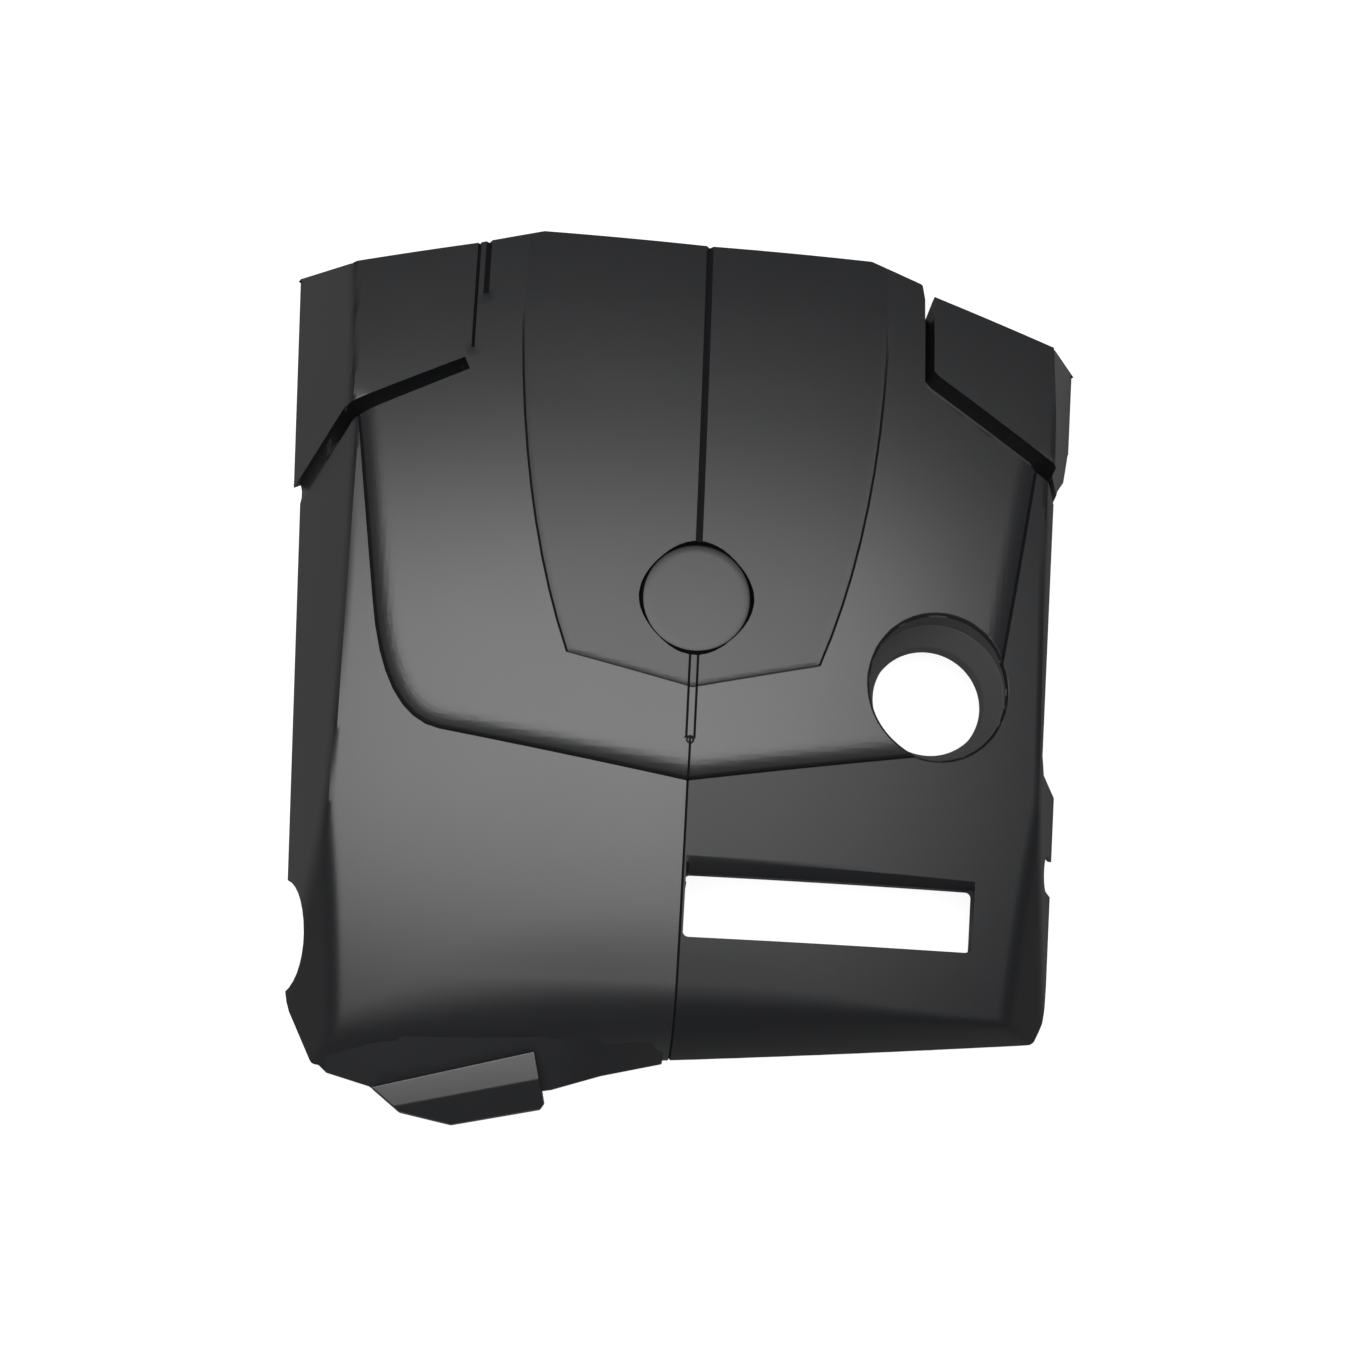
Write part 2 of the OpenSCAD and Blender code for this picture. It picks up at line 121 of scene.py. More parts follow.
# Raised panels
PAD_X = 166
LEFT_PAD_Y = REAR_Y - 96
RIGHT_PAD_Y = REAR_Y - 87
PAD_GAP = 9
PAD_GAP_DEPTH = 13
SHIELD_X = 223
SHIELD_TIP_Y = BADGE_Y - 124
SHIELD_ROLL = 16
SHIELD_EDGE = 0.4
STEP_W = 1.2

# Lines
GROOVE_W = 5
GROOVE_DEPTH = 3.2
LINE_W = 1.7
LINE_DEPTH = 1.4
DOT_R = 3

# Badge
BADGE_R = 37.5
BADGE_T = 3
RING_GAP = 0.5
RING_BULGE = 2.2
RING_R = BADGE_R + RING_GAP + RING_BULGE
RING_DEPTH = 7
BADGE_SEAT = RISE + 0.3 - BADGE_T
PEG_R = 2.5

# Oil filler well
WELL_X = 174
WELL_Y = BADGE_Y - 50
WELL_R = 40
MOUTH_R = 50.5
WELL_LOW = 38
WELL_BORE_L = 12
MOUTH_L = 18
RIM_ROLL = 1.6

# Window
WINDOW_X = 2
WINDOW_W = 204
WINDOW_Y = FRONT_Y + 83
WINDOW_L = 43
WINDOW_CORNER_R = 4
WINDOW_FRAME = 14
LEAD_DEPTH = 5.5
LEAD_LEFT = 11
LEAD_RIGHT = 5.5

# Ledge and toe in front on the left
LEDGE_LEFT = -207
LEDGE_RIGHT = -81
TOE_LEFT = -244
TOE_RIGHT = -5
TOE_TOP_Y = FRONT_Y + 20

# Mounts underneath, each with its x, y and the height of its socket's mouth
MOUNTS = {
    "grommet_rear_left": (-100, REAR_Y - 64, 62),
    "grommet_rear_right": (100, REAR_Y - 64, 62),
    "grommet_front_left": (-120, FRONT_MOUNT_Y, 46),
    "grommet_front_right": (120, FRONT_MOUNT_Y, 46),
}
SOCKET_R = 10.1
SOCKET_WALL = 3.4
GROMMET_L = 14
RIB_T = 1.8
RIB_H = 9
CROSS_RIB_X = 198


# Height of the outer surface

def soft_min(a, b, reach):
    """The lower of two surfaces, rounded where they cross."""
    near = np.maximum(reach - np.abs(a - b), 0) / reach
    return np.minimum(a, b) - near * near * reach / 4


def crown_z(x, y, lift):
    return CROWN_CENTRE_Z + np.sqrt((CROWN_R + lift) ** 2 - x * x - (y - CREST_Y) ** 2)


def plane_z(plane, x, y, lift):
    side, foot_x, foot_y, lean, turn = plane
    lean, turn = math.radians(lean), math.radians(turn)
    out = side * math.cos(turn) * (x - side * foot_x) - math.sin(turn) * (y - foot_y)
    return (lift / math.cos(lean) - out) / math.tan(lean)


NOSE_START = math.asin(
    ((CREST_Y - FRONT_Y) * math.cos(FRONT_SKEW) - NOSE_R * math.sin(NOSE_END)) / (CROWN_R - NOSE_R)
)
NOSE_OUT = (CROWN_R - NOSE_R) * math.sin(NOSE_START)
NOSE_Z = CROWN_CENTRE_Z + (CROWN_R - NOSE_R) * math.cos(NOSE_START)
NOSE_AXIS_Z = CROWN_H - NOSE_ACROSS_R


def nose_z(x, y, lift):
    """The rounded front: an arc seen from the side, turned about an axis far below."""
    across = x * math.cos(FRONT_SKEW) + (y - CREST_Y) * math.sin(FRONT_SKEW)
    arc_r = NOSE_R + lift
    start, end = arc_r * math.sin(NOSE_START), arc_r * math.sin(NOSE_END)
    along = CREST_Y - y - NOSE_OUT
    part = np.clip((along - start) / (end - start - x * math.sin(FRONT_SKEW)), 0, 1)
    ahead = along + x * math.sin(FRONT_SKEW) * part * part * (3 - 2 * part)
    on_arc = np.clip(ahead, start, end)
    high = NOSE_Z + np.sqrt(arc_r * arc_r - on_arc * on_arc)
    high = high + (start - np.minimum(ahead, start)) * math.tan(NOSE_START + math.radians(3))
    high = high - (np.maximum(ahead, end) - end) * math.tan(NOSE_END)
    return NOSE_AXIS_Z + np.sqrt((high - NOSE_AXIS_Z) ** 2 - across * across)


def outer_z(x, y, lift=0.0):
    z = soft_min(crown_z(x, y, lift), nose_z(x, y, lift), NOSE_BLEND)
    for plane in (LEFT_FLANK, RIGHT_FLANK, LEFT_CORNER, RIGHT_CORNER):
        z = soft_min(z, plane_z(plane, x, y, lift), CREASE)
    return z


# Outlines in plan

def bend(a, b, c, steps):
    """Points on a smooth curve from a to c that is drawn towards b."""
    a, b, c = (np.array(p, float) for p in (a, b, c))
    shares = np.linspace(0, 1, steps + 1)
    return [tuple((1 - t) ** 2 * a + 2 * t * (1 - t) * b + t * t * c) for t in shares]


def mirrored(points):
    return [(-x, y) for x, y in reversed(points)]


def circle(x, y, r, steps):
    turns = [2 * math.pi * i / steps for i in range(steps)]
    return [(x + r * math.cos(t), y + r * math.sin(t)) for t in turns]


def rounded_box(x, y, width, length, r, steps=6):
    points = []
    left, right = x + r, x + width - r
    front, rear = y + r, y + length - r
    corners = [(right, rear), (left, rear), (left, front), (right, front)]
    for quarter, (cx, cy) in enumerate(corners):
        for i in range(steps + 1):
            t = math.pi / 2 * (quarter + i / steps)
            points.append((cx + r * math.cos(t), cy + r * math.sin(t)))
    return points


def beside(points, distance, closed):
    """The same outline, moved sideways to the left of its direction by a distance."""
    moved = []
    count = len(points)
    for i, point in enumerate(points):
        here = Vector(point)
        sides = []
        if closed or i > 0:
            sides.append((here - Vector(points[i - 1])).normalized())
        if closed or i < count - 1:
            sides.append((Vector(points[(i + 1) % count]) - here).normalized())
        normals = [Vector((-s.y, s.x)) for s in sides]
        across = sum(normals, Vector((0, 0))).normalized()
        stretch = 1 / max(across.dot(normals[0]), 0.4)
        moved.append(tuple(here + across * distance * stretch))
    return moved


def line_distance(x, y, points, closed=False):
    """Distance from each place to the nearest stretch of a line."""
    ends = points[1:] + points[:1] if closed else points[1:]
    best = np.full(x.shape, 1e9)
    for (ax, ay), (bx, by) in zip(points, ends):
        dx, dy = bx - ax, by - ay
        t = np.clip(((x - ax) * dx + (y - ay) * dy) / (dx * dx + dy * dy), 0, 1)
        best = np.minimum(best, np.hypot(x - ax - t * dx, y - ay - t * dy))
    return best


def inside(x, y, points):
    within = np.zeros(x.shape, bool)
    for (ax, ay), (bx, by) in zip(points, points[1:] + points[:1]):
        if ay != by:
            crosses = (ay > y) != (by > y)
            within ^= crosses & (x < ax + (y - ay) * (bx - ax) / (by - ay))
    return within


def depth_inside(x, y, points):
    """Distance from the outline, positive inside it."""
    away = line_distance(x, y, points, True)
    return np.where(inside(x, y, points), away, -away)


COVER_PLAN = [
    (-FAR_X, REAR_Y + 65),
    (-FAR_X, FRONT_Y - 90),
    (FAR_X, FRONT_Y - 90),
    (FAR_X, REAR_Y + 33),
    (FOOT_X - 26, REAR_Y - 53),
    (PAD_X, REAR_Y - 24),
    (PAD_X - 10, REAR_Y - 15),
    (119, REAR_Y - 1),
    (0, REAR_Y),
    (-120, REAR_Y + REAR_PEAK),
    (-PAD_X, REAR_Y - 6),
    (-(FOOT_X - 26), REAR_Y - 23),
]
REAR_LINE = COVER_PLAN[3:] + COVER_PLAN[:1]

shield_side = bend(
    (SHIELD_X, BADGE_Y - 8), (SHIELD_X - 11, BADGE_Y - 89), (SHIELD_X - 51, SHIELD_TIP_Y + 28), 8
)
SHIELD_LINE = (
    [(-SHIELD_X - 20, LEFT_PAD_Y - 41)]
    + mirrored(list(reversed(shield_side)))
    + [(0, SHIELD_TIP_Y)]
    + list(reversed(shield_side))
    + [(SHIELD_X + 20, RIGHT_PAD_Y - 62)]
)
PAD_BEND = (-(FOOT_X - 29), LEFT_PAD_Y - 37)
LEFT_PAD_END = (-(FOOT_X + 37), LEFT_PAD_Y - 88)
RIGHT_EDGE_X = FOOT_X - 23
RIGHT_PAD_END = (RIGHT_EDGE_X, RIGHT_PAD_Y - 60)
RAISED = (
    SHIELD_LINE
    + [RIGHT_PAD_END]
    + [(RIGHT_EDGE_X - 4, REAR_Y + 60), (-FAR_X, REAR_Y + 60)]
    + [(-FAR_X, LEFT_PAD_END[1]), LEFT_PAD_END, PAD_BEND]
)
LEFT_GAP = [
    (-PAD_X - 5, LEFT_PAD_Y),
    PAD_BEND,
    LEFT_PAD_END,
    (LEFT_PAD_END[0] + 8, LEFT_PAD_END[1] - PAD_GAP),
    (PAD_BEND[0] + 7, PAD_BEND[1] - PAD_GAP),
    (-PAD_X - 1, LEFT_PAD_Y - PAD_GAP),
]
RIGHT_GAP = [
    (PAD_X, REAR_Y + 5),
    (PAD_X, RIGHT_PAD_Y + 4),
    (PAD_X + 4, RIGHT_PAD_Y),
    (FOOT_X + 37, RIGHT_PAD_Y - 98),
    (FOOT_X + 31, RIGHT_PAD_Y - 98 - PAD_GAP - 1),
    (PAD_X - 7, RIGHT_PAD_Y - PAD_GAP),
    (PAD_X - PAD_GAP + 2, REAR_Y + 5),
]
NOTCH = [
    (PAD_X - 11, REAR_Y + 30),
    (PAD_X - 9, REAR_Y - 15),
    (PAD_X - 5, REAR_Y - 39),
    (PAD_X, REAR_Y - 24),
    (PAD_X + 1, REAR_Y + 30),
]
PANEL_CORNER_Y = BADGE_Y - 42
PANEL_END_SHARE = 0.3
panel_side = bend((132, REAR_Y - 47), (128, BADGE_Y + 60), (88, PANEL_CORNER_Y), 10)
PANEL_LINE = list(reversed(mirrored(panel_side))) + [(0, BADGE_Y - 62)] + list(reversed(panel_side))
PANEL_GRAIN = [(PANEL_LINE[0][0], REAR_Y + 10)] + PANEL_LINE + [(PANEL_LINE[-1][0], REAR_Y + 10)]
RIGHT_FRONT = (
    [(0, FRONT_Y - 30), (0, SHIELD_TIP_Y)]
    + list(reversed(shield_side))
    + [SHIELD_LINE[-1], RIGHT_PAD_END, (FAR_X, RIGHT_PAD_END[1]), (FAR_X, FRONT_Y - 30)]
)
WINDOW = rounded_box(WINDOW_X, WINDOW_Y, WINDOW_W, WINDOW_L, WINDOW_CORNER_R)
WELL_MOUTH = circle(WELL_X, WELL_Y, MOUTH_R, 80)


def ring_outline(inset, steps=96):
    """The rim of the badge recess, wider at the front, rear and sides than between them."""
    points = []
    for i in range(steps):
        turn = 2 * math.pi * i / steps
        r = float(ring_r(turn) - inset)
        points.append((r * math.cos(turn), BADGE_Y + r * math.sin(turn)))
    return points


def ring_r(turn):
    return BADGE_R + RING_GAP + RING_BULGE * np.cos(2 * turn) ** 2


lead_y = WINDOW_Y + WINDOW_L
LEAD = [
    (WINDOW_X, lead_y - 6),
    (WINDOW_X + WINDOW_W, lead_y - 6),
    (WINDOW_X + WINDOW_W, lead_y + LEAD_RIGHT),
    (WINDOW_X, lead_y + LEAD_LEFT),
]
dot_y = BADGE_Y - BADGE_R - 61
# Each groove: its line, half its width, half the width of its floor and its depth
GROOVES = [
    ([(0, BADGE_Y + RING_R - 2), (0, REAR_Y + 8)], GROOVE_W / 2, 0, GROOVE_DEPTH),
    ([(-2.8, dot_y + 2), (-2.8, BADGE_Y - RING_R + 1)], LINE_W / 2, 0, LINE_DEPTH),
    ([(2.8, dot_y + 2), (2.8, BADGE_Y - RING_R + 1)], LINE_W / 2, 0, LINE_DEPTH),
    ([(0, SHIELD_TIP_Y), (0, dot_y)], LINE_W / 2, 0, LINE_DEPTH),
    ([(0, FRONT_Y - 25), (0, SHIELD_TIP_Y)], LINE_W / 2, 0, LINE_DEPTH),
    ([(-PAD_X, LEFT_PAD_Y + 8), (-PAD_X, REAR_Y + 8)], LINE_W * 0.7, 0, LINE_DEPTH * 1.8),
    ([(-PAD_X + 6.8, REAR_Y - 46), (-PAD_X + 6.8, REAR_Y + 8)], LINE_W * 1.2, 0, LINE_DEPTH * 2.4),
]


def ramp(value, full):
    """0 below 0, 1 above full, and straight between."""
    return np.clip(value / full, 0, 1)


def lift_of(x, y):
    """How far the finished surface stands above the plain outer surface."""
    raised = ramp(depth_inside(x, y, RAISED), STEP_W)
    from_shield = line_distance(x, y, SHIELD_LINE)
    roll = SHIELD_EDGE + (1 - SHIELD_EDGE) * (1 - (1 - ramp(from_shield - STEP_W, SHIELD_ROLL)) ** 2.6)
    lift = RISE * raised * roll
    lift = lift - 1.3 * (raised <= 0) * (1 - ramp(np.abs(from_shield - 0.8), 0.8))
    for points, half, floor, depth in GROOVES:
        lift = lift - depth * (1 - ramp(line_distance(x, y, points) - floor, half - floor))
    fade = ramp(REAR_Y - 47 - y, 70)
    lift = lift - 0.5 * ramp(depth_inside(x, y, PANEL_LINE), 3) * fade
    line = 1 - ramp(line_distance(x, y, PANEL_LINE), LINE_W / 2)
    lift = lift - LINE_DEPTH * line * fade * np.where(y < PANEL_CORNER_Y, PANEL_END_SHARE, 1)
    from_well = np.hypot(x - WELL_X, y - WELL_Y) - MOUTH_R
    lift = lift - 2 * (1 - ramp(from_well, RIM_ROLL)) ** 2
    lead_top = lead_y + LEAD_LEFT + (LEAD_RIGHT - LEAD_LEFT) * (x - WINDOW_X) / WINDOW_W
    lead = np.clip((lead_top - y) / (lead_top - lead_y), 0, 1) * ramp(depth_inside(x, y, LEAD), 0.6)
    lift = lift - LEAD_DEPTH * lead ** 1.4
    from_badge = np.hypot(x, y - BADGE_Y)
    recess = ramp(ring_r(np.arctan2(y - BADGE_Y, x)) - from_badge, 0.4)
    channel = RING_DEPTH * ramp(from_badge - BADGE_R + 2, RING_R - BADGE_R + 2)
    lift = lift * (1 - recess) + (BADGE_SEAT - 0.3 - channel) * recess
    dot = 1 - ramp(np.hypot(x, y - dot_y), DOT_R)
    lift = lift - DOT_R * dot
    for points in (LEFT_GAP, RIGHT_GAP):
        within = depth_inside(x, y, points)
        gap = ramp(within, 1)
        beyond_crease = 1 - 0.93 * ramp(np.abs(x) - FOOT_X + 32, 18)
        from_wall = 0.35 + 0.65 * ramp(within - 1, 2.4)
        lift = lift * (1 - gap) - PAD_GAP_DEPTH * beyond_crease * from_wall * gap
    return lift


# Places along the flanks

def on_flank(plane, y, z, lift=0.0):
    """The place in plan where a flank has height z."""
    side, foot_x, foot_y, lean, turn = plane
    out = lift / math.cos(math.radians(lean)) - z * math.tan(math.radians(lean))
    turn = math.radians(turn)
    return side * foot_x + side * (out + math.sin(turn) * (y - foot_y)) / math.cos(turn), y


def flank_opening(plane, profile, lift=0.0):
    """Outline in plan of an opening that cuts a flank from below, from its y and z."""
    side = plane[0]
    points = [on_flank(plane, y, z, lift) for y, z in profile]
    first, last = profile[0][0], profile[-1][0]
    front_edge = [(side * FAR_X, first), on_flank(plane, first, -8)]
    rear_edge = [on_flank(plane, last, -8), (side * FAR_X, last)]
    return front_edge + points + rear_edge


def arch(y, r, height, steps=14):
    """Half circle on straight legs, as places y and z."""
    low = height - r
    start = math.asin(max(-low / r, 0))
    turns = [start + (math.pi - 2 * start) * i / steps for i in range(steps + 1)]
    return [(y - r * math.cos(t), low + r * math.sin(t)) for t in turns]


side_front = BADGE_Y - 105
side_rear = side_front + 210
FLANK_OPENINGS = [
    flank_opening(LEFT_FLANK, arch(FRONT_Y + 79, 41, 30)),
    flank_opening(RIGHT_FLANK, arch(FRONT_Y + 147, 13, 33)),
    flank_opening(
        RIGHT_FLANK,
        [
            (side_front, 0),
            (side_front + 4, 54),
            (side_front + 16, 64),
            (side_rear - 5, 64),
            (side_rear + 13, 48),
            (side_rear + 31, 20),
            (side_rear + 62, 2),
        ],
    ),
]


# Cutting and shaping the sheet

def cut_along(bm, points, closed=False, reach=9):
    """Cuts the flat sheet along a line, only in the cells that the line crosses."""
    ends = points[1:] + points[:1] if closed else points[1:]
    xs, ys = [p[0] for p in points], [p[1] for p in points]
    near = cells_around(bm.faces, min(xs), min(ys), max(xs), max(ys), reach)
    for a, b in zip(points, ends):
        low_x, high_x = min(a[0], b[0]), max(a[0], b[0])
        low_y, high_y = min(a[1], b[1]), max(a[1], b[1])
        local = cells_around(near, low_x, low_y, high_x, high_y, reach)
        a, b = Vector((*a, 0)), Vector((*b, 0))
        along = (b - a).normalized()
        across = Vector((-along.y, along.x, 0))
        length = (b - a).length
        crossed = []
        for face in local:
            offsets = [v.co - a for v in face.verts]
            aside = [o.dot(across) for o in offsets]
            if min(aside) < -0.02 and max(aside) > 0.02:
                ahead = [o.dot(along) for o in offsets]
                if max(ahead) > -0.05 and min(ahead) < length + 0.05:
                    crossed.append(face)
        if not crossed:
            continue
        parts = set(crossed)
        for face in crossed:
            parts.update(face.edges)
            parts.update(face.verts)
        made = bmesh.ops.bisect_plane(bm, geom=list(parts), dist=0.06, plane_co=a, plane_no=across)
        near = [face for face in near if face.is_valid]
        cells = [part for part in made["geom"] if isinstance(part, bmesh.types.BMFace)]
        near.extend(face for face in cells if face not in parts)


def cells_around(faces, low_x, low_y, high_x, high_y, reach):
    """The cells whose first corner lies within reach of a box in plan."""
    found = []
    for face in faces:
        corner = face.verts[0].co
        if low_x - reach < corner.x < high_x + reach and low_y - reach < corner.y < high_y + reach:
            found.append(face)
    return found


def places(verts):
    spots = np.array([v.co[:] for v in verts])
    return spots[:, 0], spots[:, 1], spots[:, 2]


def faces_inside(bm, points):
    faces = list(bm.faces)
    middles = np.array([face.calc_center_median()[:] for face in faces])
    chosen = inside(middles[:, 0], middles[:, 1], points)
    return [face for face, take in zip(faces, chosen) if take]


def rim_edges(bm, points, reach=0.3):
    """The open edges of the sheet that lie along an outline."""
    edges = [edge for edge in bm.edges if edge.is_boundary]
    found = []
    for edge in edges:
        middle = (edge.verts[0].co + edge.verts[1].co) / 2
        spot = np.array([middle.x]), np.array([middle.y])
        if line_distance(*spot, points, True)[0] < reach:
            found.append(edge)
    return found


def turned_down(bm, edges, place):
    """Extrudes open edges and puts each new corner where place says. Returns the new edges."""
    made = bmesh.ops.extrude_edge_only(bm, edges=edges)["geom"]
    for part in made:
        if isinstance(part, bmesh.types.BMVert):
            part.co = place(part.co)
    fresh = {part for part in made if isinstance(part, bmesh.types.BMVert)}
    return [part for part in made if isinstance(part, bmesh.types.BMEdge) and set(part.verts) <= fresh]


def sheet():
    """Flat grid over the whole cover, finer at the creases and over the rounded front."""
    columns = np.interp(
        np.linspace(-1, 1, 171),
        [-1, -0.6, 0.6, 1],
        [shell_low.x - 6, -222, 222, shell_high.x + 6],
    )
    rows = np.interp(
        np.linspace(-1, 1, 161),
        [-1, -0.44, 1],
        [shell_low.y - 4, -214, shell_high.y + 4],
    )
    bm = bmesh.new()
    bmesh.ops.create_grid(bm, x_segments=len(columns) - 1, y_segments=len(rows) - 1, size=1)
    for v in bm.verts:
        v.co.x = columns[round((v.co.x + 1) / 2 * (len(columns) - 1))]
        v.co.y = rows[round((v.co.y + 1) / 2 * (len(rows) - 1))]
    return bm


def cut_outlines(bm):
    for points in (COVER_PLAN[2:] + COVER_PLAN[:1], NOTCH):
        cut_along(bm, points)
    for points in [WINDOW, WELL_MOUTH] + FLANK_OPENINGS:
        cut_along(bm, points, True)
    for r in (MOUTH_R + RIM_ROLL / 2, MOUTH_R + RIM_ROLL):
        cut_along(bm, circle(WELL_X, WELL_Y, r, 80), True)
    for inset in (0, 0.4):
        cut_along(bm, ring_outline(inset), True)
    for r in (BADGE_R, BADGE_R - 2):
        cut_along(bm, circle(0, BADGE_Y, r, 80), True)
    for r in (DOT_R / 2, DOT_R):
        cut_along(bm, circle(0, dot_y, r, 20), True)
    for points, closed in ((RAISED, True), (LEFT_GAP, True), (RIGHT_GAP, True), (LEAD, True)):
        cut_along(bm, points, closed)
    cut_along(bm, beside(RAISED, STEP_W, True), True)
    cut_along(bm, beside(RAISED, -STEP_W, True), True)
    for points in (LEFT_GAP, RIGHT_GAP):
        cut_along(bm, beside(points, 1, True), True)
        cut_along(bm, beside(points, -1, True), True)
    cut_along(bm, beside(LEFT_GAP, 4.2, True), True)
    cut_along(bm, beside(RIGHT_GAP, -3.4, True), True)
    for away in (0.8, 1.6):
        cut_along(bm, beside(SHIELD_LINE, away, False))
        cut_along(bm, beside(SHIELD_LINE, -away, False))
    for share in (0.12, 0.25, 0.4, 0.6, 0.8, 1):
        cut_along(bm, beside(SHIELD_LINE, STEP_W + SHIELD_ROLL * share, False))
    for points, half, floor, _depth in GROOVES:
        for away in {half, floor, -floor, -half}:
            cut_along(bm, beside(points, away, False))
    for away in (LINE_W / 2, 0, -LINE_W / 2, 3, -3):
        cut_along(bm, beside(PANEL_LINE, away, False))


def skin():
    """The outer surface of the moulding, cut to its outline and openings and trimmed at the bottom."""
    bm = sheet()
    cut_outlines(bm)
    kept = set(faces_inside(bm, COVER_PLAN))
    bmesh.ops.delete(bm, geom=[face for face in bm.faces if face not in kept], context="FACES")
    for points in [NOTCH, WINDOW, WELL_MOUTH] + FLANK_OPENINGS:
        bmesh.ops.delete(bm, geom=faces_inside(bm, points), context="FACES")
    bmesh.ops.remove_doubles(bm, verts=bm.verts[:], dist=0.05)
    x, y, _ = places(bm.verts)
    heights = outer_z(x, y, lift_of(x, y))
    for v, z in zip(bm.verts, heights):
        v.co.z = z
    trim(bm)
    return bm


def trim(bm):
    """Cuts off what lies below the resting plane or below the lifted front edge."""
    slope = math.atan2(FRONT_LIFT, 48)
    low_front = Matrix.Rotation(FRONT_SKEW, 4, "Z") @ Vector((0, FRONT_Y + 48, 0))
    up = Matrix.Rotation(FRONT_SKEW, 4, "Z") @ Vector((0, math.sin(slope), math.cos(slope)))
    for place, normal in ((Vector((0, 0, 0)), Vector((0, 0, 1))), (low_front, up)):
        bmesh.ops.bisect_plane(
            bm, geom=bm.verts[:] + bm.edges[:] + bm.faces[:], dist=0.01,
            plane_co=place, plane_no=normal, clear_inner=True,
        )


def turn_down_openings(bm):
    rear = rim_edges(bm, REAR_LINE)
    turned_down(bm, rear, lambda co: Vector((co.x, co.y, max(co.z - 11, 0))))
    window = rim_edges(bm, WINDOW)
    turned_down(bm, window, lambda co: Vector((co.x, co.y, float(outer_z(co.x, co.y)) - WINDOW_FRAME)))
    mouth_z = float(outer_z(WELL_X, WELL_Y)) + RISE - MOUTH_L
    bore_z = WELL_LOW + WELL_BORE_L
    rings = [(MOUTH_R - 0.6, None), (MOUTH_R - 0.6, mouth_z + 1), (MOUTH_R - 2, mouth_z - 1)]
    rings += [(WELL_R + 1, bore_z + 1.5), (WELL_R, bore_z - 1), (WELL_R, WELL_LOW)]
    edges = rim_edges(bm, WELL_MOUTH)
    for r, z in rings:

        def place(co, r=r, z=z):
            out = Vector((co.x - WELL_X, co.y - WELL_Y)).normalized() * r
            return Vector((WELL_X + out.x, WELL_Y + out.y, co.z - 1 if z is None else z))

        edges = turned_down(bm, edges, place)


def mark_sharp(bm, angle=24):
    for edge in bm.edges:
        if len(edge.link_faces) == 2:
            edge.smooth = edge.calc_face_angle(0) < math.radians(angle)
    for face in bm.faces:
        face.smooth = True


def to_object(bm, name, materials):
    bmesh.ops.scale(bm, vec=(MM, MM, MM), verts=bm.verts[:])
    mesh = bpy.data.meshes.new(name)
    bm.to_mesh(mesh)
    bm.free()
    for material in materials:
        mesh.materials.append(material)
    piece = bpy.data.objects.new(name, mesh)
    bpy.context.scene.collection.objects.link(piece)
    return piece


def spun(profile, x, y, steps=64):
    """A closed turned shape from the half outline of its section, as radius and height."""
    bm = bmesh.new()
    verts = [bm.verts.new((x + r, y, z)) for r, z in profile]
    edges = [bm.edges.new(pair) for pair in zip(verts, verts[1:] + verts[:1])]
    bmesh.ops.spin(
        bm, geom=verts + edges, cent=(x, y, 0), axis=(0, 0, 1),
        angle=2 * math.pi, steps=steps, use_merge=True,
    )
    bmesh.ops.remove_doubles(bm, verts=bm.verts[:], dist=0.001)
    bmesh.ops.dissolve_degenerate(bm, edges=bm.edges[:], dist=0.0005)
    bmesh.ops.recalc_face_normals(bm, faces=bm.faces[:])
    return bm


def joined(target, source):
    """Adds one bmesh to another."""
    carrier = bpy.data.meshes.new("carrier")
    source.to_mesh(carrier)
    source.free()
    target.from_mesh(carrier)
    bpy.data.meshes.remove(carrier)


# Materials

class Wire:
    """A shader value: its sums and products add Math nodes."""

    def __init__(self, nodes, links, socket):
        self.nodes, self.links, self.socket = nodes, links, socket

    def math(self, operation, *values):
        node = self.nodes.new("ShaderNodeMath")
        node.operation = operation
        for slot, value in zip(node.inputs, values):
            if isinstance(value, Wire):
                self.links.new(value.socket, slot)
            else:
                slot.default_value = value
        return Wire(self.nodes, self.links, node.outputs[0])

    def __add__(self, other):
        return self.math("ADD", self, other)

    def __mul__(self, other):
        return self.math("MULTIPLY", self, other)

    __radd__ = __add__


class Finish:
    """A material under construction."""

    def __init__(self, name):
        self.material = bpy.data.materials.new(name)
        self.material.use_nodes = True
        self.nodes = self.material.node_tree.nodes
        self.links = self.material.node_tree.links
        self.shader = self.nodes["Principled BSDF"]
        self.spot = self.node("ShaderNodeTexCoord", out="Object")

    def node(self, kind, settings=None, values=None, out=0):
        node = self.nodes.new(kind)
        for key, value in (settings or {}).items():
            setattr(node, key, value)
        for key, value in (values or {}).items():
            if isinstance(value, Wire):
                self.links.new(value.socket, node.inputs[key])
            else:
                node.inputs[key].default_value = value
        return Wire(self.nodes, self.links, node.outputs[out])

    def noise(self, scale, detail=2.0, roughness=0.5):
        values = {"Vector": self.spot, "Scale": scale, "Detail": detail, "Roughness": roughness}
        return self.node("ShaderNodeTexNoise", values=values)

    def blend(self, factor, low, high):
        settings = {"data_type": "RGBA"}
        values = {"Factor": factor, 6: (*low, 1), 7: (*high, 1)}
        return self.node("ShaderNodeMix", settings, values, out=2)

    def feed(self, **sockets):
        for name, value in sockets.items():
            slot = self.shader.inputs[name.replace("_", " ")]
            if isinstance(value, Wire):
                self.links.new(value.socket, slot)
            else:
                slot.default_value = value

    def bump(self, height, strength, distance):
        values = {"Height": height, "Strength": strength, "Distance": distance}
        self.feed(Normal=self.node("ShaderNodeBump", values=values))


